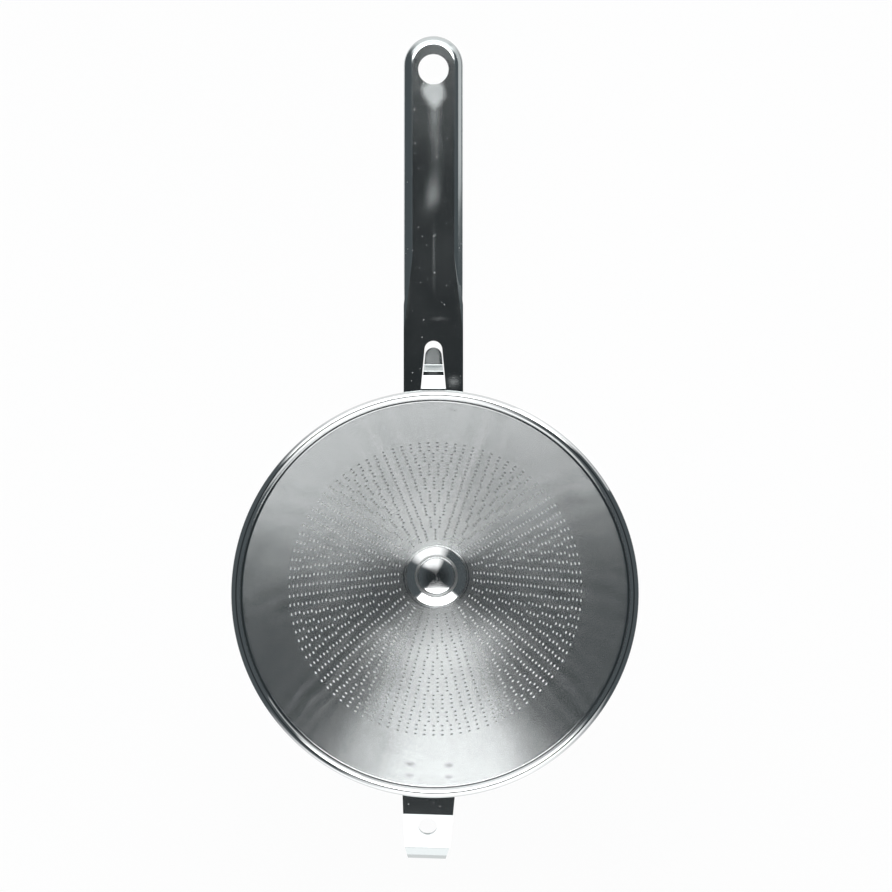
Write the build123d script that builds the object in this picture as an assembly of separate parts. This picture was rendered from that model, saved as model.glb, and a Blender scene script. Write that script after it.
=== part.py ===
from build123d import *
import os
from math import asin, cos, degrees, radians, sin, sqrt, tan

# A conical strainer for sauces: a pierced steel cone with a curled rim, a flat
# pressed handle, and a rest hook opposite it. Handle and hook seat under the curl
# and are spot-welded to the wall.
# Millimetres. The origin is on the cone's axis, in the plane of the pot rim that the
# handle and the hook lie on. +Z goes out of the mouth, +Y along the handle.

# Bowl: sizes
rim_diameter = 200.0  # across the curl
curl_diameter = 4.9
curl_sides = 12  # of its section, near enough round
bowl_sheet = 0.8
half_angle = 26.15  # degrees, wall to axis
ledge_width = 0.9  # flat between the curl and the wall
ledge_depth = 1.5  # below the top of the curl

# Nose of the bowl: sizes, all on the inner face
shoulder_radius = 17.3  # the wall ends and the shoulder starts
shoulder_fall = 12.0  # degrees below level
cup_radius = 11.7
cup_taper = 0.4  # lip radius less foot radius
cup_wall = 4.2  # from the lip down to the dished bottom
dish_depth = 1.4

# Piercing: ten like sectors, in rings whose holes grow fewer towards the nose
sector_count = 10
outer_ring_radius = 74.1
inner_ring_radius = 22.9
holes_in_sector = (2, 1, 1, 1, 1, 1)  # one ring each, from the rim down
hole_width = 1.5
sector_start = 1.0  # degrees from +X

# Handle: sizes
handle_width = 29.2
handle_reach = 274.6  # axis of the bowl to the far end
handle_sheet = 1.6
handle_side = -0.8  # its centreline off the bowl's axis, as welded
edge_bend = 4.6  # outer radius of the turned-down edges
edge_depth = 5.2
edge_start = 128.0  # the edges fade out between these two distances
edge_full = 168.0
hang_hole_diameter = 15.0
hang_hole_inset = 17.0  # centre to the far end

# Tongue lanced from the handle: sizes
hinge_gap = 0.6  # from the curl to the hinge
slot_length = 23.6
slot_root_width = 12.4
slot_end_width = 8.8
lance_gap = 0.3
tongue_short = 3.0  # the bent tongue stops this far short of the slot's end
ramp_length = 6.6
ramp_drop = 3.8
step_flat = 2.3
step_length = 3.0
step_drop = 3.6
tip_drop = 0.6
tongue_bend = 0.5

# Rest hook: sizes
hook_sheet = handle_sheet  # both are cut from the same strip
hook_turn = -1.8  # degrees off the line of the handle, as welded
hook_root_width = 25.6
hook_waist_width = 22.4
hook_end_width = 18.6
hook_flat = 8.7  # from the curl to the bend
hook_ramp = 16.1
hook_fall = 20.0  # degrees
hook_curve_radius = 14.1
hook_curve = 40.0  # degrees
hook_hole_diameter = 9.4
hook_hole_reach = 14.7  # curl to the hole's centre
hook_bend = 0.8

# Weld flanges and spot welds: sizes
flange_length = 24.0  # along the wall
flange_bend = 2.6  # what the bend cuts off the corner under the curl
weld_diameter = 5.0
weld_dimple = 0.15
weld_side = 9.6  # from the strip's centreline
weld_depths = (7.8, 17.0)  # below the top of the curl
weld_sides = 6

# Every cut runs past the metal by this much
overrun = 5.0

# Worked out from the sizes
slope = tan(radians(half_angle))
wall_across = bowl_sheet / cos(radians(half_angle))
curl_radius = curl_diameter / 2
rim_radius = rim_diameter / 2
curl_bottom = handle_sheet
rim_top = curl_bottom + curl_diameter
ledge_z = rim_top - ledge_depth
wall_top_radius = rim_radius - curl_diameter - ledge_width


def wall_radius(z):
    """Inner radius of the wall at height z."""
    return wall_top_radius - (ledge_z - z) * slope


def wall_height(radius):
    """Height at which the inner wall has this radius."""
    return ledge_z - (wall_top_radius - radius) / slope


def turned(profile):
    """Revolve a profile drawn as radius and height about the bowl's axis."""
    return revolve(Plane.XZ * profile, Axis.Z)


# Bowl: one sheet from the curl to the closed nose
def bowl_solid():
    shoulder_z = wall_height(shoulder_radius)
    lip_z = shoulder_z - (shoulder_radius - cup_radius) * tan(radians(shoulder_fall))
    foot_radius = cup_radius - cup_taper
    foot_z = lip_z - cup_wall
    bottom_z = foot_z - dish_depth
    ball = (foot_radius**2 + dish_depth**2) / (2 * dish_depth)
    half_arc = asin(foot_radius / ball) / 2
    middle = (ball * sin(half_arc), bottom_z + ball - ball * cos(half_arc))
    top = (wall_top_radius, ledge_z)
    shoulder = (shoulder_radius, shoulder_z)
    lip = (cup_radius, lip_z)
    foot = (foot_radius, foot_z)
    bottom = (0, bottom_z)
    centre = (0, ledge_z)
    edges = [
        Line(top, shoulder),
        Line(shoulder, lip),
        Line(lip, foot),
        ThreePointArc(foot, middle, bottom),
        Line(bottom, centre),
        Line(centre, top),
    ]
    inside = make_face(edges)
    tall = ledge_z - bottom_z + overrun
    keep = Pos(0, ledge_z - tall) * Rectangle(rim_radius, tall, align=Align.MIN)
    wall = (offset(inside, amount=bowl_sheet, kind=Kind.INTERSECTION) & keep) - inside
    ledge_reach = rim_radius - curl_radius - wall_top_radius
    ledge = Rectangle(ledge_reach, bowl_sheet, align=(Align.MIN, Align.MAX))
    curl = Pos(rim_radius - curl_radius, curl_bottom + curl_radius) * RegularPolygon(curl_radius, curl_sides)
    profile = wall + Pos(wall_top_radius, ledge_z) * ledge + curl
    return turned(profile)


# Piercing: each hole is a small turn of a turned band, so its sides run with the wall
def piercing():
    holes = []
    step = (outer_ring_radius - inner_ring_radius) / (len(holes_in_sector) - 1)
    across = Rectangle(3 * bowl_sheet, hole_width)
    for ring, count in enumerate(holes_in_sector):
        radius = outer_ring_radius - ring * step
        turn = degrees(hole_width / radius)
        # The section is laid square to the wall
        section = Pos(radius + wall_across / 2, wall_height(radius)) * Rot(0, 0, -half_angle) * across
        one = revolve(Plane.XZ * section, Axis.Z, turn)
        total = count * sector_count
        for index in range(total):
            holes.append(Rot(0, 0, sector_start - turn / 2 + 360 * (index + 0.5) / total) * one)
    return holes


# A flange that follows the wall, bends out under the curl and ends in a flat strip
def strip_root(width, sheet, side):
    low_z = curl_bottom - flange_length * cos(radians(half_angle))
    outer = wall_across + wall_radius(0)
    corner = outer + curl_bottom * slope
    drop = flange_bend * cos(radians(half_angle))
    path = Polyline(
        (outer + low_z * slope, low_z),
        (corner - drop * slope, curl_bottom - drop),
        (corner + flange_bend, curl_bottom),
        (rim_radius, curl_bottom),
    )
    ring = turned(bent_face(path, sheet))
    deep = curl_bottom - low_z + overrun
    keep = Box(width, rim_radius + overrun, deep, align=(Align.CENTER, Align.MIN, Align.MAX))
    return ring & (Pos(side, 0, curl_bottom) * keep)


def bent_face(path, sheet):
    """Section of a bent strip whose upper face follows the path."""
    return make_face(offset(path, amount=sheet, side=Side.RIGHT, kind=Kind.INTERSECTION).edges())


def strip_start():
    """Distance from the axis at which a strip is flat all across."""
    return rim_radius - curl_radius


# Outline of the lanced slot, and of the tongue that is bent out of it
def tongue_outline(root_width, end_width, start, end):
    corner_y = end - end_width / 2
    left = (-root_width / 2, start)
    left_end = (-end_width / 2, corner_y)
    right_end = (end_width / 2, corner_y)
    right = (root_width / 2, start)
    edges = [
        Line(left, left_end),
        ThreePointArc(left_end, (0, end), right_end),
        Line(right_end, right),
        Line(right, left),
    ]
    return make_face(edges)


def tongue_solid(hinge, slot_end):
    ramp_end = hinge + ramp_length
    flat_end = ramp_end + step_flat
    step_end = flat_end + step_length
    seat_z = curl_bottom - ramp_drop
    low_z = seat_z - step_drop
    path = FilletPolyline(
        (hinge - handle_sheet, curl_bottom),
        (hinge, curl_bottom),
        (ramp_end, seat_z),
        (flat_end, seat_z),
        (step_end, low_z),
        (slot_end, low_z - tip_drop),
        radius=tongue_bend,
    )
    band = extrude(Plane.YZ * bent_face(path, handle_sheet), slot_root_width, both=True)
    root_width = slot_root_width - 2 * lance_gap
    end_width = slot_end_width - 2 * lance_gap
    outline = tongue_outline(root_width, end_width, hinge - handle_sheet, slot_end - tongue_short)
    deep = ramp_drop + step_drop + tip_drop + handle_sheet + overrun
    return band & extrude(outline, deep, both=True)


def handle_blank(width, end_radius, start, reach):
    """Plan of the handle: straight sides and a round end."""
    straight = reach - end_radius - start
    sides = Pos(0, start + straight / 2) * Rectangle(width, straight)
    return sides + Pos(0, reach - end_radius) * Circle(end_radius)


# Handle: a shallow channel with a round end, whose edges fade out before the tongue
def handle_solid():
    start = strip_start()
    top = curl_bottom
    low = top - edge_depth
    outline = handle_blank(handle_width, handle_width / 2, start, handle_reach)
    body = Pos(0, 0, low) * extrude(outline, edge_depth)
    body = fillet(side_edges(body, start), edge_bend)
    inner_width = handle_width - 2 * handle_sheet
    inner = handle_blank(inner_width, inner_width / 2, start - overrun, handle_reach - handle_sheet)
    hollow = Pos(0, 0, low - overrun) * extrude(inner, overrun + edge_depth - handle_sheet)
    # The inside of the bend is planed off so that it keeps the sheet's thickness
    inner_bend = (2 - sqrt(2)) * (edge_bend - handle_sheet)
    hollow = chamfer(side_edges(hollow, start), inner_bend)
    body -= hollow
    body -= edge_run_out(low)
    body += root_strip(start)
    hole = Cylinder(hang_hole_diameter / 2, handle_sheet + 2 * overrun)
    body -= Pos(0, handle_reach - hang_hole_inset, top) * hole
    hinge = rim_radius + hinge_gap
    slot_end = hinge + slot_length
    slot = tongue_outline(slot_root_width, slot_end_width, hinge, slot_end)
    body -= Pos(0, 0, top) * extrude(slot, handle_sheet + overrun, both=True)
    body += tongue_solid(hinge, slot_end)
    return Pos(handle_side, 0, 0) * body + strip_root(handle_width, handle_sheet, handle_side)


def side_edges(body, start):
    """Edges of the top face, without the straight one at the root."""
    face = body.faces().sort_by(Axis.Z)[-1]
    return [edge for edge in face.edges() if edge.center().Y > start + handle_sheet]


def edge_run_out(low):
    """What is cut away below the strip where its edges aren't turned down yet."""
    near = strip_start() - overrun
    under = curl_bottom - handle_sheet
    points = [(near, under), (edge_start, under), (edge_full, low), (edge_full, low - overrun), (near, low - overrun)]
    return extrude(Plane.YZ * make_face(Polyline(*points, close=True)), handle_width, both=True)


def root_strip(start):
    """Square-edged strip at the root, whose two corners are planed off into the rounded edges."""
    length = edge_full - start
    middle = Pos(0, start + length / 2, curl_bottom - handle_sheet / 2)
    strip = middle * Box(handle_width, length, handle_sheet)
    fade = edge_bend / (edge_full - edge_start)
    for side in (-1, 1):
        corner = Plane((side * handle_width / 2, edge_start, curl_bottom), z_dir=(side, fade, 1))
        strip = split(strip, bisect_by=corner, keep=Keep.BOTTOM)
    return strip


# Rest hook: drawn along +Y, then turned to its place
def hook_solid():
    start = strip_start()
    bend = rim_radius + hook_flat
    fall = radians(hook_fall)
    ramp_end = (bend + hook_ramp, curl_bottom - hook_ramp * tan(fall))
    flat_and_ramp = FilletPolyline((start, curl_bottom), (bend, curl_bottom), ramp_end, radius=hook_bend)
    curve = JernArc(ramp_end, (cos(fall), -sin(fall)), hook_curve_radius, -hook_curve)
    band = extrude(Plane.YZ * bent_face(flat_and_ramp + curve, hook_sheet), hook_root_width, both=True)
    end = (curve @ 1).X
    outline = Polyline(
        (-hook_root_width / 2, start),
        (hook_root_width / 2, start),
        (hook_root_width / 2, rim_radius),
        (hook_waist_width / 2, bend + hook_ramp),
        (hook_end_width / 2, end),
        (-hook_end_width / 2, end),
        (-hook_waist_width / 2, bend + hook_ramp),
        (-hook_root_width / 2, rim_radius),
        close=True,
    )
    deep = hook_ramp + hook_curve_radius
    arm = band & extrude(make_face(outline), deep, both=True)
    across = rim_radius + hook_hole_reach
    hole_z = curl_bottom - (across - bend) * tan(fall)
    hole = Cylinder(hook_hole_diameter / 2, hook_sheet + 2 * overrun)
    arm -= Pos(0, across, hole_z) * Rot(-hook_fall, 0, 0) * hole
    return arm + strip_root(hook_root_width, hook_sheet, 0)


def facing_back(drawn):
    """Turn a shape or a place drawn along +Y to the hook's side."""
    return Rot(0, 0, 180 + hook_turn) * drawn


# Spot welds: nuggets that fill one hole through wall and flange
def weld_places(centre):
    """Where the welds of a strip with this centreline leave the inner wall, square to it."""
    places = []
    for depth in weld_depths:
        z = rim_top - depth
        radius = wall_radius(z)
        square = Pos(radius, 0, z) * Rot(0, 90 + half_angle, 0)
        for across in (centre - weld_side, centre + weld_side):
            places.append(Rot(0, 0, 90 - degrees(asin(across / radius))) * square)
    return places


def weld_bores(places):
    """Cutters through both sheets."""
    reach = bowl_sheet + handle_sheet + overrun
    bore = extrude(RegularPolygon(weld_diameter / 2, weld_sides), reach, both=True)
    return [place * bore for place in places]


def weld_nuggets(places, sheet):
    """Each nugget stops a dimple short of the two faces that it joins."""
    length = bowl_sheet + sheet - 2 * weld_dimple
    nugget = Pos(0, 0, weld_dimple) * extrude(RegularPolygon(weld_diameter / 2, weld_sides), length)
    return Compound(children=[place * nugget for place in places])


def main():
    bowl = bowl_solid().cut(*piercing())
    handle = handle_solid()
    hook = facing_back(hook_solid())
    handle_places = weld_places(handle_side)
    hook_places = [facing_back(place) for place in weld_places(0)]
    handle_bores = weld_bores(handle_places)
    hook_bores = weld_bores(hook_places)
    nodes = {
        "bowl": bowl.cut(*handle_bores, *hook_bores),
        "handle": handle.cut(*handle_bores),
        "rest_hook": hook.cut(*hook_bores),
        "handle_welds": weld_nuggets(handle_places, handle_sheet),
        "hook_welds": weld_nuggets(hook_places, hook_sheet),
    }
    os.makedirs("parts", exist_ok=True)
    for name, shape in nodes.items():
        export_step(shape, f"parts/{name}.step")
        box = shape.bounding_box()
        print(name, len(shape.solids()), round(shape.volume), box.min, box.max)


main()
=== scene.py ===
import math

import bpy
import numpy as np
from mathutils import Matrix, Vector


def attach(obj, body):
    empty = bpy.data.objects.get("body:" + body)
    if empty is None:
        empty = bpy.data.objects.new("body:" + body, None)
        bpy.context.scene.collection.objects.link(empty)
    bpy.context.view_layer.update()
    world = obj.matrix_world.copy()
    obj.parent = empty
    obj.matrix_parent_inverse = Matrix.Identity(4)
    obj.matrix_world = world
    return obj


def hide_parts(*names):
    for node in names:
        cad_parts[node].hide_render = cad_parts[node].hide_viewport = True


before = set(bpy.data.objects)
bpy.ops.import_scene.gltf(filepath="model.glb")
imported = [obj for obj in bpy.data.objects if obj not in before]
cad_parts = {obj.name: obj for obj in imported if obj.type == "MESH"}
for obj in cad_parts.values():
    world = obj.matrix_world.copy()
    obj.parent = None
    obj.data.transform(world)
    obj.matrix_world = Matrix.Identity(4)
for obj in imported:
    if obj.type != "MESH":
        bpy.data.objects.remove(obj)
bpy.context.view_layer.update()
mm = 0.001
print("frame loaded")


# Mesh helpers

def newPiece(name, points, faces, cornerNormals=None):
    # A mesh object at the origin from rows of points and rows of corner numbers;
    # cornerNormals gives one normal for every corner of every face, in order.
    mesh = bpy.data.meshes.new(name)
    mesh.from_pydata(points.tolist(), [], faces)
    mesh.update()
    mesh.polygons.foreach_set("use_smooth", np.ones(len(mesh.polygons), bool))
    if cornerNormals is not None:
        mesh.normals_split_custom_set(cornerNormals.tolist())
    piece = bpy.data.objects.new(name, mesh)
    bpy.context.scene.collection.objects.link(piece)
    return piece


def unit(rows):
    # Each row divided by its own length.
    return rows / np.maximum(np.linalg.norm(rows, axis=-1, keepdims=True), 1e-12)


class Patchwork:
    # Triangles and quads gathered from many patches, with a normal at every corner.
    # Corners that lie on one place are welded when the piece is made.
    weld = 2e-8  # metres
    pole = 1e-9  # metres, an edge shorter than this has shrunk to a point

    def __init__(self):
        self.corners = {3: [], 4: []}
        self.normals = {3: [], 4: []}
        self.marks = {3: [], 4: []}

    def add(self, points, normals, faces, mark=0.0):
        # points and normals are rows per vertex, faces are rows of vertex numbers;
        # the mark tells cut faces from rolled ones. A quad whose first or second row
        # has shrunk to the pole goes in as a triangle.
        if faces.shape[1] == 4:
            corners = points[faces]
            atFirst = np.linalg.norm(corners[:, 0] - corners[:, 3], axis=1) < self.pole
            atSecond = np.linalg.norm(corners[:, 1] - corners[:, 2], axis=1) < self.pole
            self.put(points, normals, faces[atFirst][:, [0, 1, 2]], mark)
            self.put(points, normals, faces[atSecond][:, [0, 1, 3]], mark)
            faces = faces[~(atFirst | atSecond)]
        self.put(points, normals, faces, mark)

    def put(self, points, normals, faces, mark):
        if not len(faces):
            return
        size = faces.shape[1]
        self.corners[size].append(points[faces])
        self.normals[size].append(normals[faces])
        self.marks[size].append(np.full(faces.size, mark))

    def piece(self, name):
        blocks, normalRows, sizes = [], [], []
        for size in (3, 4):
            block = np.concatenate(self.corners[size])
            blocks.append(block.reshape(-1, 3))
            normalRows.append(np.concatenate(self.normals[size]).reshape(-1, 3))
            sizes.append((size, len(block)))
        corners = np.concatenate(blocks)
        keys = np.round(corners / self.weld).astype(np.int64)
        _, first, inverse = np.unique(keys, axis=0, return_index=True, return_inverse=True)
        inverse = inverse.reshape(-1)
        faces = []
        start = 0
        for size, count in sizes:
            faces += inverse[start:start + size * count].reshape(count, size).tolist()
            start += size * count
        piece = newPiece(name, corners[first], faces, unit(np.concatenate(normalRows)))
        marks = np.concatenate(self.marks[3] + self.marks[4])
        layer = piece.data.attributes.new("cut", "FLOAT", "CORNER")
        layer.data.foreach_set("value", marks.astype(np.float32))
        return piece


def turned(theta, across, up):
    # A radius and a height carried round the axis to the angles theta.
    rows = np.broadcast_arrays(across * np.cos(theta), across * np.sin(theta), up)
    return np.stack(rows, -1)


def turnedGrid(profile, profileNormals, angles):
    # Revolve: point (i, j) stands at angle j, at the radius and height of profile row i.
    # A profile that runs outward along its top, with angles rising, has faces that look up.
    columns = len(angles)
    points = turned(angles, profile[:, 0:1], profile[:, 1:2])
    normals = turned(angles, profileNormals[:, 0:1], profileNormals[:, 1:2])
    i, j = np.meshgrid(np.arange(len(profile) - 1), np.arange(columns), indexing="ij")
    right = (j + 1) % columns
    low, high = i * columns, (i + 1) * columns
    faces = np.stack([low + j, high + j, high + right, low + right], -1)
    return points.reshape(-1, 3), normals.reshape(-1, 3), faces.reshape(-1, 4)


def arc(centre, radius, startDegrees, endDegrees, steps):
    # Points of a circle between two angles, with outward normals.
    angles = np.radians(np.linspace(startDegrees, endDegrees, steps + 1))
    normals = np.stack([np.cos(angles), np.sin(angles)], -1)
    return np.array(centre) + radius * normals, normals


def roundedPath(corners, rounds, steps):
    # A profile through the corners with each inner corner turned on its own radius;
    # the normal at each point is square to the path, on its left.
    corners = np.array(corners)
    along = unit(corners[1:] - corners[:-1])
    left = np.stack([-along[:, 1], along[:, 0]], -1)
    points, normals = [corners[0]], [left[0]]
    for k, radius in enumerate(rounds):
        cross = along[k][0] * along[k + 1][1] - along[k][1] * along[k + 1][0]
        side = math.copysign(1, cross)
        angle = math.acos(max(-1.0, min(1.0, float(along[k] @ along[k + 1]))))
        cut = radius * math.tan(angle / 2)
        centre = corners[k + 1] - cut * along[k] + side * radius * left[k]
        turn = side * angle * np.linspace(0, 1, steps + 1)[:, None]
        spokes = np.concatenate([left[k][0] * np.cos(turn) - left[k][1] * np.sin(turn),
                                 left[k][0] * np.sin(turn) + left[k][1] * np.cos(turn)], 1)
        points += list(centre - side * radius * spokes)
        normals += list(spokes)
    return np.array(points + [corners[-1]]), np.array(normals + [left[-1]])


# Bowl: one sheet, pierced in ten like sectors

bowlValues = {
    "sheet": 0.8 * mm,
    "halfAngle": 26.15,  # wall to axis, degrees
    "wallTopRadius": 94.2 * mm,
    "ledgeHeight": 5.0 * mm,
    "ledgeRound": 0.45 * mm,
    "ledgeSteps": 6,
    "curlRadius": 2.45 * mm,
    "curlCentre": (97.52 * mm, 4.05 * mm),
    "curlEnd": -132.0,  # degrees, where its free edge turns in to the wall
    "curlSteps": 44,
    "plainRows": 9,  # rows of faces up the plain wall
    "outerRingRadius": 74.08 * mm,
    "innerRingRadius": 21.02 * mm,
    "ringsInBand": (3, 3, 4, 4, 4, 4, 4, 4),
    "holesInSector": (10, 9, 8, 7, 6, 5, 4, 3),
    "pitchInBand": (3.56, 3.97, 4.5, 5.19, 6.13, 7.48, 9.28, 12.7),  # degrees
    "sectors": 10,
    "sectorStart": 1.0,  # degrees from +X
    "holeRadius": 0.76 * mm,
    "holeSides": 16,
    "holeTurn": -135.0,  # degrees, so that point 0 faces the cell's first corner
    "bandGap": 0.7 * mm,  # plain strip between two bands, along the wall
    "shoulderRadius": 17.3 * mm,
    "shoulderFall": 12.0,  # degrees below level
    "shoulderRound": 2.4 * mm,
    "cupRadius": 11.7 * mm,
    "cupDraft": 0.25 * mm,  # how much narrower the cup is at its foot
    "cupLipRound": 0.55 * mm,
    "cupWallDepth": 4.2 * mm,
    "cupWallRound": 2.6 * mm,
    "cupBallRadius": 55.0 * mm,
    "footReach": 3.0 * mm,  # straight run from the cup's foot, most of it rounded off
    "roundSteps": 8,
    "dishSteps": 14,
}
halfAngle = math.radians(bowlValues["halfAngle"])
upWall = np.array([math.sin(halfAngle), math.cos(halfAngle)])
outOfWall = np.array([math.cos(halfAngle), -math.sin(halfAngle)])


def wallPoint(radius):
    # Height of the inner wall at this radius: a straight cone through its top.
    v = bowlValues
    return v["ledgeHeight"] - (v["wallTopRadius"] - radius) / math.tan(halfAngle)


def wallAt(slant):
    # Radius and height of the inner wall, this far up it from the cone's apex.
    radius = slant * math.sin(halfAngle)
    return np.array([radius, wallPoint(radius)])


def coneShell(theta, slant, outside):
    # The wall unrolled: theta round the axis, slant up the wall from the cone's apex.
    # The outer face lies one sheet off along the wall's normal.
    height = wallPoint(0.0) + slant * math.cos(halfAngle)
    points = turned(theta, slant * math.sin(halfAngle), height)
    outward = turned(theta, *outOfWall)
    if outside:
        return points + bowlValues["sheet"] * outward, outward
    return points, -outward


def pierceBand(patch, band, firstRing, ringStep):
    # Every cell is a slanted rectangle of the wall with a round hole: eight rim points,
    # and a ring of hole points joined to them by a fan that repeats in each cell.
    v = bowlValues
    holes = v["holesInSector"][band]
    pitch = math.radians(v["pitchInBand"][band])
    sectorAngle = 2 * math.pi / v["sectors"]
    rings = np.arange(v["ringsInBand"][band]) + firstRing
    slants = (v["outerRingRadius"] - rings * ringStep) / math.sin(halfAngle)
    slantStep = ringStep / math.sin(halfAngle)
    counts = (v["sectors"], holes, len(rings))
    sector, column, ring = (numbers.ravel() for numbers in np.indices(counts))
    cellAngle = sectorAngle / holes
    start = math.radians(v["sectorStart"])
    cellTheta = start + sector * sectorAngle + (column + 0.5) * cellAngle
    fromMiddle = (column - (holes - 1) / 2) * pitch
    holeTheta = start + (sector + 0.5) * sectorAngle + fromMiddle
    holeSlant = slants[ring]
    gap = v["bandGap"] / 2
    top = holeSlant + slantStep / 2 - np.where(ring == 0, gap, 0)
    low = holeSlant - slantStep / 2 + np.where(ring == len(rings) - 1, gap, 0)
    # Rim of the cell, anticlockwise from its lower corner at the smaller angle
    across = np.array([-1, 0, 1, 1, 1, 0, -1, -1]) * cellAngle / 2
    rise = np.array([0, 0, 0, 0.5, 1, 1, 1, 0.5])
    rimTheta = cellTheta[:, None] + across
    rimSlant = low[:, None] + (top - low)[:, None] * rise
    # Hole: a circle in the unrolled wall
    sides = v["holeSides"]
    turn = np.radians(v["holeTurn"]) + np.arange(sides) * 2 * np.pi / sides
    axisDistance = holeSlant[:, None] * math.sin(halfAngle)
    circleTheta = holeTheta[:, None] + v["holeRadius"] * np.cos(turn) / axisDistance
    circleSlant = holeSlant[:, None] + v["holeRadius"] * np.sin(turn)
    theta = np.concatenate([rimTheta, circleTheta], 1)
    slant = np.concatenate([rimSlant, circleSlant], 1)
    # Three triangles to each side of the rim: rim points a and b, hole points h, m and n
    a = np.arange(8)
    b = (a + 1) % 8
    h = 8 + sides * a // 8
    m = h + 1
    n = 8 + (sides * (a + 1) // 8) % sides
    fan = np.concatenate([np.stack(corners, -1) for corners in ((a, b, m), (a, m, h), (b, n, m))])
    offset = (np.arange(len(cellTheta)) * theta.shape[1])[:, None, None]
    fans = (fan[None] + offset).reshape(-1, 3)
    inner, innerNormals = coneShell(theta, slant, False)
    outer, outerNormals = coneShell(theta, slant, True)
    patch.add(inner.reshape(-1, 3), innerNormals.reshape(-1, 3), fans[:, ::-1])
    patch.add(outer.reshape(-1, 3), outerNormals.reshape(-1, 3), fans)
    # Wall of the hole: its normals point to the hole's own axis
    aroundWall = turned(circleTheta + np.pi / 2, 1.0, 0.0)
    alongWall = turned(circleTheta, *upWall)
    toAxis = -np.cos(turn)[None, :, None] * aroundWall - np.sin(turn)[None, :, None] * alongWall
    points = np.concatenate([inner[:, 8:], outer[:, 8:]], 1)
    normals = np.concatenate([toAxis, toAxis], 1)
    k = np.arange(sides)
    after = (k + 1) % sides
    quad = np.stack([k, k + sides, after + sides, after], -1)
    quads = (quad[None] + (np.arange(len(points)) * 2 * sides)[:, None, None]).reshape(-1, 4)
    patch.add(points.reshape(-1, 3), normals.reshape(-1, 3), quads, mark=1.0)
    return low.min(), top.max()


def ringAngles(band):
    # Angles of the welded points round the edge of a band: two for each cell.
    v = bowlValues
    count = 2 * v["sectors"] * v["holesInSector"][band]
    return math.radians(v["sectorStart"]) + np.arange(count) * 2 * np.pi / count


def joinRings(patch, lowAngles, lowSlant, highAngles, highSlant):
    # Strip between two rings of different counts: the middles of all the edges are put
    # in order round the axis, and each edge takes the far point that it has reached.
    lowCount, highCount = len(lowAngles), len(highAngles)
    low, high = np.arange(lowCount), np.arange(highCount)
    lowMiddle = (low + 0.5) / lowCount
    highMiddle = (high + 0.5) / highCount
    lowFar = np.searchsorted(highMiddle, lowMiddle) % highCount
    highFar = np.searchsorted(lowMiddle, highMiddle) % lowCount
    lowFaces = np.stack([low, (low + 1) % lowCount, lowCount + lowFar], -1)
    highFaces = np.stack([lowCount + (high + 1) % highCount, lowCount + high, highFar], -1)
    faces = np.concatenate([lowFaces, highFaces])
    theta = np.concatenate([lowAngles, highAngles])
    slant = np.concatenate([np.full(lowCount, lowSlant), np.full(highCount, highSlant)])
    for outside in (False, True):
        points, normals = coneShell(theta, slant, outside)
        patch.add(points, normals, faces if outside else faces[:, ::-1])


def addRim(patch, topSlant):
    # Up the inner wall, over the ledge, round the curl and down the outer wall.
    v = bowlValues
    start = wallAt(topSlant)
    centre = np.array(v["curlCentre"])
    creaseAngle = math.asin((v["ledgeHeight"] - centre[1]) / v["curlRadius"])
    crease = centre + v["curlRadius"] * np.array([-math.cos(creaseAngle), math.sin(creaseAngle)])
    wallTop = np.array([v["wallTopRadius"], v["ledgeHeight"]])
    rows = np.linspace(0, 1, v["plainRows"] + 1)[:, None]
    wallLine = start + (wallTop - v["ledgeRound"] * upWall - start) * rows[:-1]
    corners = [wallLine[-1], wallTop, crease]
    ledge, ledgeNormals = roundedPath(corners, [v["ledgeRound"]], v["ledgeSteps"])
    curlStart = 180 - math.degrees(creaseAngle)
    curl, curlNormals = arc(centre, v["curlRadius"], curlStart, v["curlEnd"], v["curlSteps"])
    outerStart = start + v["sheet"] * outOfWall
    outerTop = outerStart + (curl[-1][1] - outerStart[1]) / math.cos(halfAngle) * upWall
    outerLine = outerTop + (outerStart - outerTop) * rows
    wallNormals = np.tile(-outOfWall, (len(wallLine), 1))
    level = np.array([0, 1.0])
    inside = np.concatenate([wallLine, ledge[1:-1]])
    insideNormals = np.concatenate([wallNormals, ledgeNormals[1:-1]])
    strips = (
        (inside, insideNormals),
        (np.stack([ledge[-2], crease]), level),
        (curl, curlNormals),
        (np.stack([curl[-1], outerTop]), -level),
        (outerLine, outOfWall),
    )
    for profile, normals in strips:
        patch.add(*turnedGrid(profile, np.broadcast_to(normals, profile.shape), ringAngles(0)))


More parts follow.
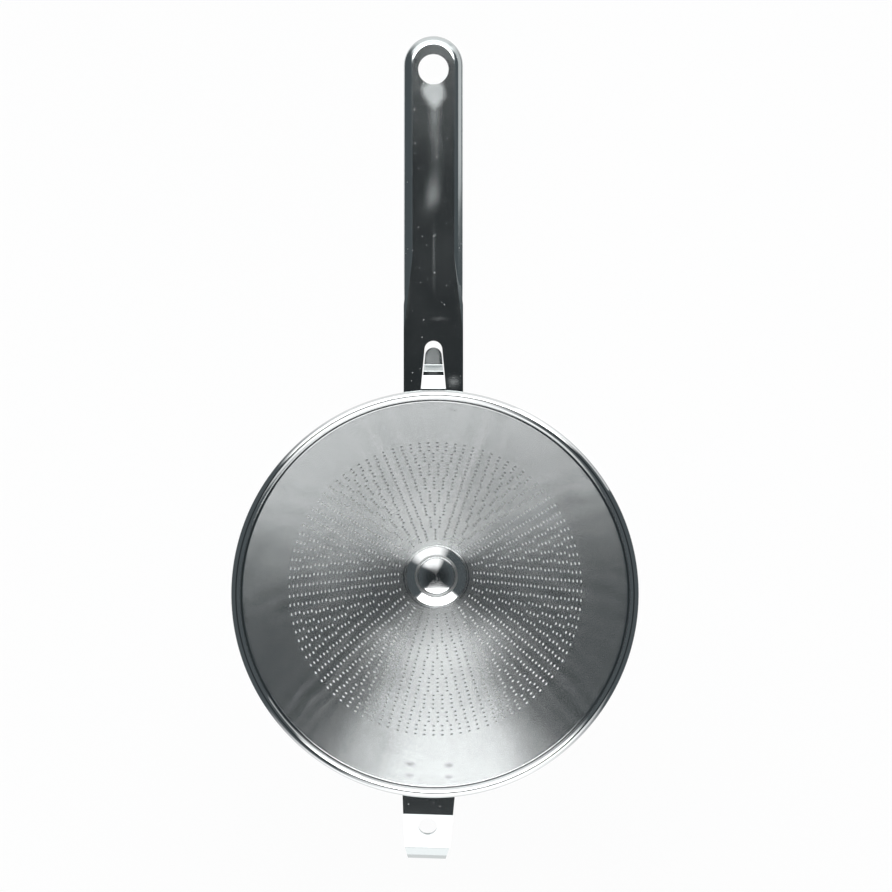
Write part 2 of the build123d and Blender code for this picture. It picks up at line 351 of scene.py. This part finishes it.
def addNose(patch, lowSlant, angles):
    # Down the wall to the shoulder, over the lip, down the cup and to its middle; the
    # dish is part of a ball, moved up or down to meet the cup's foot.
    v = bowlValues
    shoulder = np.array([v["shoulderRadius"], wallPoint(v["shoulderRadius"])])
    fall = math.tan(math.radians(v["shoulderFall"]))
    lip = np.array([v["cupRadius"], shoulder[1] - (v["shoulderRadius"] - v["cupRadius"]) * fall])
    foot = np.array([v["cupRadius"] - v["cupDraft"], lip[1] - v["cupWallDepth"]])
    ball = v["cupBallRadius"]
    sag = math.asin(foot[0] / ball)
    middle = np.array([0.0, foot[1] + ball * math.cos(sag)])
    tangent = foot - v["footReach"] * np.array([math.cos(sag), math.sin(sag)])
    rounds = [v["shoulderRound"], v["cupLipRound"], v["cupWallRound"]]
    corners = [wallAt(lowSlant), shoulder, lip, foot, tangent]
    path, outward = roundedPath(corners, rounds, v["roundSteps"])
    path, outward = path[:-1], outward[:-1]
    bend = math.degrees(math.asin(path[-1][0] / ball))
    dish, dishOutward = arc(middle, ball, -90 + bend, -90, v["dishSteps"])
    dish[:, 1] += path[-1][1] - dish[0][1]
    inside = np.concatenate([path, dish[1:]])
    insideNormals = -np.concatenate([outward, dishOutward[1:]])
    outside = inside - v["sheet"] * insideNormals
    inside[-1][0] = outside[-1][0] = 0.0
    patch.add(*turnedGrid(inside[::-1], insideNormals[::-1], angles))
    patch.add(*turnedGrid(outside, -insideNormals, angles))


def makeBowl():
    v = bowlValues
    patch = Patchwork()
    ringStep = (v["outerRingRadius"] - v["innerRingRadius"]) / (sum(v["ringsInBand"]) - 1)
    first = 0
    edges = []
    for band, rings in enumerate(v["ringsInBand"]):
        edges.append(pierceBand(patch, band, first, ringStep))
        first += rings
    for band in range(len(edges) - 1):
        lowSlant, highSlant = edges[band + 1][1], edges[band][0]
        joinRings(patch, ringAngles(band + 1), lowSlant, ringAngles(band), highSlant)
    addRim(patch, edges[0][1])
    addNose(patch, edges[-1][0], ringAngles(len(edges) - 1))
    return patch.piece("pierced_bowl")


bowl = makeBowl()
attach(bowl, "root")
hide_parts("bowl")
print("bowl made", len(bowl.data.polygons), "faces")


# Node helpers: each puts one node in the tree and gives back what comes out of it

def add(tree, kind, links=None, **settings):
    # One node: settings are its own values, links fill its inputs by name or number.
    # Of inputs that share a name, the one in use is taken.
    node = tree.nodes.new(kind)
    for key, value in settings.items():
        setattr(node, key, value)
    used = {socket.name: socket for socket in node.inputs if socket.enabled}
    for key, value in (links or {}).items():
        socket = node.inputs[key] if isinstance(key, int) else used[key]
        if isinstance(value, bpy.types.NodeSocket):
            tree.links.new(value, socket)
        else:
            socket.default_value = value
    return node


def calc(tree, operation, a, b=0.0, clamp=False):
    links = {0: a, 1: b}
    return add(tree, "ShaderNodeMath", links, operation=operation, use_clamp=clamp).outputs[0]


def plus(tree, *terms):
    total = terms[0]
    for term in terms[1:]:
        total = calc(tree, "ADD", total, term)
    return total


def times(tree, *terms):
    total = terms[0]
    for term in terms[1:]:
        total = calc(tree, "MULTIPLY", total, term)
    return total


def without(tree, mask):
    # What a mask leaves over.
    return calc(tree, "SUBTRACT", 1.0, mask)


def spanned(tree, value, low, high, toLow=0.0, toHigh=1.0):
    # Value brought from one span to another and held within it.
    spans = {"From Min": low, "From Max": high, "To Min": toLow, "To Max": toHigh}
    return add(tree, "ShaderNodeMapRange", {"Value": value, **spans}).outputs["Result"]


def vector(tree, operation, a, b=(0, 0, 0)):
    # A length or a dot product comes out as a number.
    node = add(tree, "ShaderNodeVectorMath", {0: a, 1: b}, operation=operation)
    return node.outputs["Value" if operation in ("LENGTH", "DOT_PRODUCT") else "Vector"]


def scaled(tree, a, factor):
    links = {0: a, "Scale": factor}
    return add(tree, "ShaderNodeVectorMath", links, operation="SCALE").outputs["Vector"]


def split(tree, value):
    return add(tree, "ShaderNodeSeparateXYZ", {0: value}).outputs


def joined(tree, x=0.0, y=0.0, z=0.0):
    return add(tree, "ShaderNodeCombineXYZ", {0: x, 1: y, 2: z}).outputs[0]


def noise(tree, place, scale, detail, **more):
    links = {"Vector": place, "Scale": scale, "Detail": detail, **more}
    return add(tree, "ShaderNodeTexNoise", links).outputs["Fac"]


def blend(tree, mask, a, b):
    # Colour a where the mask is 0 and b where it is 1.
    mix = add(tree, "ShaderNodeMix", {"Factor": mask, "A": a, "B": b}, data_type="RGBA")
    return [socket for socket in mix.outputs if socket.enabled][0]


def bumped(tree, height, distance, **normal):
    links = {"Height": height, "Strength": 1.0, "Distance": distance, **normal}
    return add(tree, "ShaderNodeBump", links).outputs[0]


# Shared effects: scratches, spun grain, dust and smudges. Scales are repeats in a metre

effectValues = {
    "scratchTurns": ((12, 1.0), (71, 1.3), (-38, 0.8)),  # degrees, and share of the scale
    "scratchTilt": (0.3, 0.2),
    "scratchScale": (90, 6000, 2000),
    "scratchCrest": (0.68, 0.78),
    "scratchPatches": 45.0,
    "scratchLimits": (0.42, 0.62),
    "grainSlope": 0.5,  # how much the distance from the axis counts along the wall
    "speckScale": 420.0,
    "speckEdge": (0.16, 0.06),
    "speckPatches": 180.0,
    "speckLimits": (0.53, 0.6),
    "smearScale": 28.0,
    "smearLimits": (0.35, 0.7),
    "wanderScale": 130.0,
    "wander": 0.5,  # in half widths of the smudge
    "smudgeEdge": 1.25,
}


def nodeGroup(name, inputs, outputs):
    # An empty group with float or vector sockets.
    group = bpy.data.node_groups.new(name, "ShaderNodeTree")
    kinds = {"float": "NodeSocketFloat", "vector": "NodeSocketVector"}
    for label, kind, value in inputs:
        socket = group.interface.new_socket(name=label, in_out="INPUT", socket_type=kinds[kind])
        if value is not None:
            socket.default_value = value
    for label in outputs:
        group.interface.new_socket(name=label, in_out="OUTPUT", socket_type=kinds["float"])
    entry = group.nodes.new("NodeGroupInput").outputs
    leave = group.nodes.new("NodeGroupOutput").inputs
    return group, entry, leave


def scratchGroup():
    # Fine straight scratches: noise drawn out long in three directions, and only its
    # rarest crests kept.
    v = effectValues
    inputs = [("Place", "vector", None), ("Amount", "float", 0.5)]
    group, entry, leave = nodeGroup("fineScratches", inputs, ["Mask"])
    total = None
    for index, (turn, share) in enumerate(v["scratchTurns"]):
        long, thin, deep = v["scratchScale"]
        links = {
            "Vector": entry["Place"],
            "Rotation": (v["scratchTilt"][0] * index, v["scratchTilt"][1], math.radians(turn)),
            "Scale": (long * share, thin * share, deep),
        }
        drawn = add(group, "ShaderNodeMapping", links).outputs[0]
        crest = spanned(group, noise(group, drawn, 1.0, 2.0, Roughness=0.6), *v["scratchCrest"])
        total = crest if total is None else calc(group, "MAXIMUM", total, crest)
    patches = noise(group, entry["Place"], v["scratchPatches"], 2.0)
    mask = times(group, total, spanned(group, patches, *v["scratchLimits"]))
    group.links.new(calc(group, "MULTIPLY", mask, entry["Amount"], True), leave["Mask"])
    return group


def spunGroup():
    # Grain left by polishing on a lathe: noise that is long round the axis and short
    # along the wall. The place is taken as direction round the axis, and as height.
    inputs = [("Place", "vector", None), ("Fineness", "float", 2200.0), ("Length", "float", 3.0)]
    group, entry, leave = nodeGroup("spunGrain", inputs, ["Grain"])
    x, y, z = split(group, entry["Place"])
    flat = joined(group, x, y)
    lengthwise = scaled(group, vector(group, "NORMALIZE", flat), entry["Length"])
    reach = times(group, vector(group, "LENGTH", flat), effectValues["grainSlope"])
    along = plus(group, z, reach)
    lift = joined(group, z=times(group, along, entry["Fineness"]))
    grain = noise(group, vector(group, "ADD", lengthwise, lift), 1.0, 3.0, Roughness=0.6)
    group.links.new(grain, leave["Grain"])
    return group


def dustGroup():
    # Small pale specks and dull smears: points of a cell pattern, and soft noise.
    v = effectValues
    inputs = [("Place", "vector", None), ("Specks", "float", 0.5)]
    group, entry, leave = nodeGroup("dustAndSmears", inputs, ["Specks", "Smears"])
    links = {"Vector": entry["Place"], "Scale": v["speckScale"], "Randomness": 1.0}
    cells = add(group, "ShaderNodeTexVoronoi", links).outputs["Distance"]
    rare = noise(group, entry["Place"], v["speckPatches"], 1.0)
    dots = spanned(group, cells, *v["speckEdge"])
    specks = times(group, dots, spanned(group, rare, *v["speckLimits"]))
    group.links.new(calc(group, "MULTIPLY", specks, entry["Specks"], True), leave["Specks"])
    smears = noise(group, entry["Place"], v["smearScale"], 4.0, Roughness=0.65, Distortion=0.8)
    group.links.new(spanned(group, smears, *v["smearLimits"]), leave["Smears"])
    return group


def smudgeGroup():
    # A soft ellipse with a wandering edge: distance from its centre in half widths.
    v = effectValues
    inputs = [
        ("Place", "vector", None),
        ("Centre", "vector", (0, 0, 0)),
        ("Spread", "vector", (1, 1, 1)),
        ("Sharpness", "float", 1.0),
    ]
    group, entry, leave = nodeGroup("smudge", inputs, ["Mask"])
    wander = noise(group, entry["Place"], v["wanderScale"], 3.0)
    apart = vector(group, "SUBTRACT", entry["Place"], entry["Centre"])
    reach = vector(group, "LENGTH", vector(group, "MULTIPLY", apart, entry["Spread"]))
    reach = plus(group, reach, times(group, wander, v["wander"]))
    within = calc(group, "SUBTRACT", v["smudgeEdge"], reach)
    group.links.new(calc(group, "MULTIPLY", within, entry["Sharpness"], True), leave["Mask"])
    return group


scratches = scratchGroup()
spunGrain = spunGroup()
dust = dustGroup()
smudge = smudgeGroup()


def startMaterial(name):
    material = bpy.data.materials.new(name)
    material.use_nodes = True
    tree = material.node_tree
    tree.nodes.clear()
    out = tree.nodes.new("ShaderNodeOutputMaterial")
    shader = tree.nodes.new("ShaderNodeBsdfPrincipled")
    tree.links.new(shader.outputs[0], out.inputs["Surface"])
    place = tree.nodes.new("ShaderNodeTexCoord").outputs["Object"]
    return material, tree, shader, place


def use(tree, group, **links):
    node = tree.nodes.new("ShaderNodeGroup")
    node.node_tree = group
    for key, value in links.items():
        if isinstance(value, bpy.types.NodeSocket):
            tree.links.new(value, node.inputs[key])
        else:
            node.inputs[key].default_value = value
    return node.outputs


# Bowl's finish: spun and polished, with the marks of the welds

bowlFinish = {
    "steel": (0.71, 0.72, 0.72, 1),
    "worn": (0.67, 0.68, 0.68, 1),
    "stain": (0.40, 0.41, 0.41, 1),
    "roughness": 0.125,
    "dullRoughness": 0.165,
    "scratches": 0.2,
    "scratchRoughness": 0.08,
    "stainRoughness": 0.15,
    "deepRoughness": 0.11,  # more, down the pierced wall towards the nose
    "deepReach": (60 * mm, 25 * mm),  # radii where it starts and is full
    "crispRoughness": 0.10,  # rim and nose
    "rimReach": (93 * mm, 94 * mm),
    "noseReach": (18.5 * mm, 17.0 * mm),
    "lipReach": (10.7 * mm, 12.0 * mm),  # burnished line round the cup's lip
    "lipRoughness": 0.3,
    "spunGloss": 1.0,  # how much wider the gloss spreads across the grain than along it
    "grainTurn": 0.25,  # the grain runs round the axis
    "grainFineness": 2200.0,
    "grainLength": 3.0,
    "grainSpread": 0.03,
    "grainHeight": 0.0004 * mm,
    "waveScale": 26.0,
    "waveHeight": 0.25 * mm,
    "cutSteel": (0.88, 0.89, 0.89, 1),
    "cutRoughness": 0.7,
    "cutMetal": 0.0,
    # Painted shade on the cut faces of the holes towards the hook and the handle: its
    # colour, and the share of that direction where it starts and is full
    "cutPaintedShade": (0.30, 0.31, 0.31, 1),
    "hookPaintedShade": (0.80, 0.93),
    "handlePaintedShade": (0.60, 0.85),
    # Heat marks of the spot welds, seen inside: place, half size, sharpness
    "weldMarks": (
        ((-12.5 * mm, -85.4 * mm, -11.0 * mm), 3.0 * mm, 0.7),
        ((-12.5 * mm, -89.9 * mm, -2.0 * mm), 2.6 * mm, 0.7),
        ((6.8 * mm, -86.0 * mm, -11.0 * mm), 3.0 * mm, 0.7),
        ((6.8 * mm, -90.5 * mm, -2.0 * mm), 2.6 * mm, 0.7),
        ((8.8 * mm, 90.3 * mm, -2.0 * mm), 2.4 * mm, 0.8),
        ((-11.8 * mm, -90.0 * mm, -1.4 * mm), 0.7 * mm, 2.5),
        ((6.2 * mm, -90.6 * mm, -2.4 * mm), 0.7 * mm, 2.5),
        ((9.6 * mm, 90.2 * mm, -2.4 * mm), 0.8 * mm, 2.5),
    ),
}


def bowlColour(tree, flat, smears, stain, cut):
    # Steel with worn smears and weld marks, and the cut faces of the holes, with painted
    # shade that darkens those facing towards the hook and the handle.
    v = bowlFinish
    aside = vector(tree, "NORMALIZE", flat)
    # Painted shade: the cut faces along the handle's line are darkened by their direction round
    # the axis
    hookward = vector(tree, "DOT_PRODUCT", aside, (0, -1, 0))
    handleward = times(tree, hookward, -1.0)
    hookPaintedShade = spanned(tree, hookward, *v["hookPaintedShade"])
    paintedShade = calc(tree, "MAXIMUM", hookPaintedShade, spanned(tree, handleward, *v["handlePaintedShade"]))
    rolled = blend(tree, stain, blend(tree, smears, v["steel"], v["worn"]), v["stain"])
    return blend(tree, cut, rolled, blend(tree, paintedShade, v["cutSteel"], v["cutPaintedShade"]))


def polishedSteel():
    v = bowlFinish
    material, tree, shader, place = startMaterial("polished steel")
    grain = use(tree, spunGrain, Place=place, Fineness=v["grainFineness"],
                Length=v["grainLength"])["Grain"]
    scratch = use(tree, scratches, Place=place, Amount=v["scratches"])["Mask"]
    smears = use(tree, dust, Place=place)["Smears"]
    stain = None
    for centre, size, sharpness in v["weldMarks"]:
        mask = use(tree, smudge, Place=place, Centre=centre, Spread=(1 / size,) * 3,
                   Sharpness=sharpness)["Mask"]
        stain = mask if stain is None else calc(tree, "MAXIMUM", stain, mask)
    cut = add(tree, "ShaderNodeAttribute", attribute_name="cut").outputs["Fac"]
    flat = vector(tree, "MULTIPLY", place, (1, 1, 0))
    colour = bowlColour(tree, flat, smears, stain, cut)
    tree.links.new(colour, shader.inputs["Base Color"])

    # Dull on the spun wall and duller down it, crisp on the rim and the nose
    depth = split(tree, place)[2]

    def downWall(key):
        return spanned(tree, depth, *(wallPoint(radius) for radius in v[key]))

    noseward = downWall("noseReach")
    crisp = calc(tree, "MAXIMUM", downWall("rimReach"), noseward)
    dull = spanned(tree, smears, 0.0, 1.0, v["roughness"], v["dullRoughness"])
    dull = spanned(tree, crisp, 0.0, 1.0, dull, v["crispRoughness"])
    streak = times(tree, grain, v["grainSpread"], without(tree, crisp))
    deep = times(tree, downWall("deepReach"), v["deepRoughness"])
    deep = calc(tree, "SUBTRACT", deep, crisp, True)
    reach = vector(tree, "LENGTH", flat)
    beyond = calc(tree, "GREATER_THAN", reach, v["lipReach"][0])
    before = calc(tree, "LESS_THAN", reach, v["lipReach"][1])
    lip = times(tree, beyond, before, v["lipRoughness"])
    scratched = times(tree, scratch, v["scratchRoughness"])
    stained = times(tree, stain, v["stainRoughness"])
    rough = calc(tree, "ADD", plus(tree, dull, streak, scratched, stained, deep), lip, True)
    rough = spanned(tree, cut, 0.0, 1.0, rough, v["cutRoughness"])
    tree.links.new(rough, shader.inputs["Roughness"])
    metal = spanned(tree, cut, 0.0, 1.0, 1.0, v["cutMetal"])
    tree.links.new(metal, shader.inputs["Metallic"])

    # Gloss drawn out across the grain, and a faintly wavy sheet under fine grain
    shader.inputs["Anisotropic"].default_value = v["spunGloss"]
    shader.inputs["Anisotropic Rotation"].default_value = v["grainTurn"]
    roundAxis = add(tree, "ShaderNodeTangent", direction_type="RADIAL", axis="Z")
    tree.links.new(roundAxis.outputs[0], shader.inputs["Tangent"])
    wave = times(tree, noise(tree, place, v["waveScale"], 1.0), without(tree, noseward))
    waves = bumped(tree, wave, v["waveHeight"])
    height = calc(tree, "SUBTRACT", grain, scratch)
    tree.links.new(bumped(tree, height, v["grainHeight"], Normal=waves), shader.inputs["Normal"])
    return material


# Finish of the handle and the hook: bright strip, handled and scratched

stripFinish = {
    # Handling marks on the handle: centre, half width and half length, sharpness, haze
    "smudges": (
        ((-0.8 * mm, 246.0 * mm), (7.5 * mm, 8.5 * mm), 2.2, 0.10),
        ((-0.2 * mm, 233.0 * mm), (4.5 * mm, 16.0 * mm), 0.9, 0.055),
        ((0.5 * mm, 216.0 * mm), (5.5 * mm, 16.0 * mm), 0.8, 0.045),
        ((-0.6 * mm, 198.0 * mm), (5.5 * mm, 13.0 * mm), 1.2, 0.085),
        ((-4.0 * mm, 190.0 * mm), (6.0 * mm, 9.0 * mm), 0.8, 0.05),
        ((-0.5 * mm, 165.0 * mm), (1.2 * mm, 24.0 * mm), 1.0, 0.06),
        ((9.0 * mm, 104.0 * mm), (4.5 * mm, 4.0 * mm), 1.2, 0.12),
        ((2.0 * mm, 135.0 * mm), (5.0 * mm, 1.5 * mm), 1.0, 0.07),
        ((-1.0 * mm, 113.8 * mm), (4.2 * mm, 9.0 * mm), 4.0, 0.06),
    ),
    "steel": (0.60, 0.63, 0.63, 1),
    "worn": (0.70, 0.72, 0.72, 1),
    "roughness": 0.09,
    "smearRoughness": 0.03,
    "wornRoughness": 0.2,
    "scratches": 0.35,
    "specks": 1.0,
    # Turned edges of the handle, tumbled duller: its centreline, the middle of its round
    # end, where the edge begins and is full, and where it has faded out along the strip
    "side": -0.8 * mm,
    "endMiddle": 260.0 * mm,
    "edgeReach": (11.2 * mm, 13.0 * mm),
    "edgeFade": (128.0 * mm, 168.0 * mm),
    "edgeRoughness": 0.09,
    "grainScale": (2400.0, 60.0, 2400.0),
    "grainHeight": 0.0006 * mm,
    "wornDepth": 1.5,  # of scratches and specks, in heights of the grain
    "waveScale": 30.0,
    "waveHeight": 0.12 * mm,
}


def stripSteel():
    v = stripFinish
    material, tree, shader, place = startMaterial("strip steel")
    scratch = use(tree, scratches, Place=place, Amount=v["scratches"])["Mask"]
    marks = use(tree, dust, Place=place, Specks=v["specks"])
    drawn = add(tree, "ShaderNodeMapping", {"Vector": place, "Scale": v["grainScale"]})
    grain = noise(tree, drawn.outputs[0], 1.0, 3.0)
    worn = calc(tree, "MAXIMUM", scratch, marks["Specks"])
    tree.links.new(blend(tree, worn, v["steel"], v["worn"]), shader.inputs["Base Color"])

    # Duller where smeared, worn, turned down or handled
    smeared = plus(tree, v["roughness"], times(tree, marks["Smears"], v["smearRoughness"]))
    rough = calc(tree, "ADD", smeared, times(tree, worn, v["wornRoughness"]), True)
    x, y = split(tree, place)[:2]
    aside = calc(tree, "SUBTRACT", x, v["side"])
    beyond = calc(tree, "MAXIMUM", calc(tree, "SUBTRACT", y, v["endMiddle"]), 0.0)
    reach = vector(tree, "LENGTH", joined(tree, aside, beyond))
    edge = times(tree, spanned(tree, reach, *v["edgeReach"]), spanned(tree, y, *v["edgeFade"]))
    rough = plus(tree, rough, times(tree, edge, v["edgeRoughness"]))
    for centre, spread, sharpness, haze in v["smudges"]:
        mask = use(tree, smudge, Place=place, Centre=(*centre, 0), Sharpness=sharpness,
                   Spread=(1 / spread[0], 1 / spread[1], 0))["Mask"]
        rough = plus(tree, rough, times(tree, mask, haze))
    tree.links.new(rough, shader.inputs["Roughness"])
    shader.inputs["Metallic"].default_value = 1.0

    waves = bumped(tree, noise(tree, place, v["waveScale"], 1.0), v["waveHeight"])
    height = calc(tree, "SUBTRACT", grain, times(tree, worn, v["wornDepth"]))
    tree.links.new(bumped(tree, height, v["grainHeight"], Normal=waves), shader.inputs["Normal"])
    return material


weldFinish = {
    "steel": (0.5, 0.5, 0.5, 1),
    "heated": (0.38, 0.35, 0.32, 1),
    "roughness": (0.3, 0.5),
    "pitScale": 1500.0,
    "pitDepth": 0.05 * mm,
}


def weldSteel():
    # The weld's face is dull and pitted, with patches of heat tint.
    v = weldFinish
    material, tree, shader, place = startMaterial("weld steel")
    smears = use(tree, dust, Place=place)["Smears"]
    tree.links.new(blend(tree, smears, v["steel"], v["heated"]), shader.inputs["Base Color"])
    rough = spanned(tree, smears, 0.0, 1.0, *v["roughness"])
    tree.links.new(rough, shader.inputs["Roughness"])
    shader.inputs["Metallic"].default_value = 1.0
    pits = bumped(tree, noise(tree, place, v["pitScale"], 2.0), v["pitDepth"])
    tree.links.new(pits, shader.inputs["Normal"])
    return material


def dress(piece, material):
    piece.data.materials.clear()
    piece.data.materials.append(material)


strip = stripSteel()
weld = weldSteel()
dress(bowl, polishedSteel())
finishes = {"handle": strip, "rest_hook": strip, "handle_welds": weld, "hook_welds": weld}
for name, material in finishes.items():
    dress(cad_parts[name], material)
print("materials made")


# Studio: a white floor far below, two soft boxes in the sky along the handle

studioValues = {
    "floorHeight": -0.55,
    "floorLength": 6.0,
    "floorWidth": 1.3,
    "paper": (0.9, 0.9, 0.9, 1),
    "white": 0.9,  # share of the floor's own white, the rest is lit paper with its shadow
    # Soft boxes in the sky: the near edge is straight, a share of the handle's direction.
    # Degrees from overhead to the end of the bright part and to the far edge; degrees
    # round the horizon to the middle, half the width and how softly the sides fade.
    "backBox": {
        "near": 0.23, "bright": 31.0, "far": 64.0, "middle": 93.0, "half": 47.0,
        "soft": 5.0, "level": 6.4, "farLevel": 1.4,
    },
    "frontBox": {
        "near": 0.21, "bright": 40.0, "far": 58.0, "middle": 284.0, "half": 30.0,
        "soft": 10.0, "level": 1.55, "farLevel": 1.8,
    },
    "nearFade": 0.012,
    "edge": 1.5,
    "sideCard": {
        "place": (0.36, 0.42, 0.03), "aim": (0.01, 0.25, 0.0), "size": 0.40, "level": 0.65,
    },
    "tint": (0.86, 1.0, 1.08),  # the unlit room is a little blue
    "dark": 0.11,
    "overhead": 0.03,
    "overheadReach": (0.95, 0.985),  # share of straight up where the darker part starts
    "glow": (1.35, 0.95),  # low down, at the hook's side and at the handle's
    "glowTurn": (-0.5, 0.5),  # share of the handle's direction where one gives way
    "glowSides": (0.6, 0.9),  # share of the handle's direction where it starts and is full
    "glowTop": (0.62, 0.45),  # share of straight up where it starts and is full
}


def makeFloor():
    # A flat sheet: white paper to the camera and in gloss, that still shows shadow.
    v = studioValues
    x, y, z = v["floorWidth"] / 2, v["floorLength"] / 2, v["floorHeight"]
    corners = np.array([[-x, -y, z], [x, -y, z], [x, y, z], [-x, y, z]])
    floor = newPiece("studio_floor", corners, [[0, 1, 2, 3]])
    material = bpy.data.materials.new("paper floor")
    material.use_nodes = True
    tree = material.node_tree
    tree.nodes.clear()
    out = tree.nodes.new("ShaderNodeOutputMaterial")
    paper = add(tree, "ShaderNodeBsdfDiffuse", {"Color": v["paper"]}).outputs[0]
    white = add(tree, "ShaderNodeEmission", {"Color": (1, 1, 1, 1), "Strength": 1.0}).outputs[0]
    path = tree.nodes.new("ShaderNodeLightPath").outputs
    shown = calc(tree, "MAXIMUM", path["Is Glossy Ray"], path["Is Transmission Ray"])
    seen = times(tree, calc(tree, "MAXIMUM", path["Is Camera Ray"], shown), v["white"])
    sheet = add(tree, "ShaderNodeMixShader", {0: seen, 1: paper, 2: white}).outputs[0]
    # From below the sheet is clear, so the underside can be looked at
    below = tree.nodes.new("ShaderNodeNewGeometry").outputs["Backfacing"]
    clear = tree.nodes.new("ShaderNodeBsdfTransparent").outputs[0]
    both = add(tree, "ShaderNodeMixShader", {0: below, 1: sheet, 2: clear})
    tree.links.new(both.outputs[0], out.inputs["Surface"])
    floor.data.materials.append(material)


def softBox(tree, way, aside, box):
    # A stretch of sky past a straight near edge, with a bright part and a fainter one,
    # and two sides; every limit in degrees is compared as a cosine.
    v = studioValues

    def within(value, limit, fade):
        limits = [math.cos(math.radians(limit + turn * fade)) for turn in (1, -1)]
        return spanned(tree, value, *limits)

    y, z = split(tree, way)[1:]
    middle = math.radians(box["middle"])
    across = vector(tree, "DOT_PRODUCT", aside, (math.cos(middle), math.sin(middle), 0))
    sides = within(across, box["half"], box["soft"])
    along = times(tree, y, math.copysign(1, math.sin(middle)))
    near = spanned(tree, along, box["near"] - v["nearFade"], box["near"] + v["nearFade"])
    bright = times(tree, within(z, box["bright"], v["edge"]), box["level"] - box["farLevel"])
    far = times(tree, within(z, box["far"], v["edge"]), box["farLevel"])
    return times(tree, sides, near, plus(tree, bright, far))


def makeCard():
    # A small soft card beside the handle's end; power is level times area times pi.
    v = studioValues["sideCard"]
    lamp = bpy.data.lights.new("side card", "AREA")
    lamp.shape = "SQUARE"
    lamp.size = v["size"]
    lamp.energy = v["level"] * math.pi * v["size"] ** 2
    holder = bpy.data.objects.new("side card", lamp)
    holder.location = v["place"]
    toAim = Vector(v["aim"]) - Vector(v["place"])
    holder.rotation_euler = toAim.to_track_quat("-Z", "Y").to_euler()
    bpy.context.scene.collection.objects.link(holder)


def makeWorld():
    # Dark overhead, where the camera stands, and at both sides; two soft boxes and a
    # low glow lie along the handle's line. The camera itself sees white.
    v = studioValues
    world = bpy.data.worlds.new("studio air")
    bpy.context.scene.world = world
    world.use_nodes = True
    tree = world.node_tree
    tree.nodes.clear()
    out = tree.nodes.new("ShaderNodeOutputWorld")
    way = tree.nodes.new("ShaderNodeTexCoord").outputs["Generated"]
    x, y, z = split(tree, way)
    ceiling = spanned(tree, z, *v["overheadReach"], v["dark"], v["overhead"])
    aside = vector(tree, "NORMALIZE", joined(tree, x, y))
    along = split(tree, aside)[1]
    sideways = spanned(tree, calc(tree, "ABSOLUTE", along), *v["glowSides"])
    level = spanned(tree, along, *v["glowTurn"], *v["glow"])
    glow = times(tree, sideways, spanned(tree, z, *v["glowTop"]), level)
    boxes = [softBox(tree, way, aside, v[key]) for key in ("backBox", "frontBox")]
    light = plus(tree, *boxes, glow)
    room = scaled(tree, v["tint"], ceiling)
    shade = vector(tree, "ADD", room, joined(tree, light, light, light))
    air = add(tree, "ShaderNodeBackground", {0: shade, 1: 1.0}).outputs[0]
    white = add(tree, "ShaderNodeBackground", {0: (1, 1, 1, 1), 1: 1.0}).outputs[0]
    seen = tree.nodes.new("ShaderNodeLightPath").outputs["Is Camera Ray"]
    mix = add(tree, "ShaderNodeMixShader", {0: seen, 1: air, 2: white})
    tree.links.new(mix.outputs[0], out.inputs["Surface"])


makeFloor()
makeCard()
makeWorld()


# Camera: straight down into the mouth, handle up

cameraValues = {
    "place": (5.4 * mm, 72.5 * mm, 1158.0 * mm),
    "lens": 95.0,
    "sensor": 36.0,
}


def makeCamera():
    camera = bpy.data.cameras.new("camera")
    camera.lens = cameraValues["lens"]
    camera.sensor_width = cameraValues["sensor"]
    holder = bpy.data.objects.new("camera", camera)
    holder.location = cameraValues["place"]
    bpy.context.scene.collection.objects.link(holder)
    bpy.context.scene.camera = holder


makeCamera()
bpy.context.scene.view_settings.view_transform = "Standard"
print("studio made")
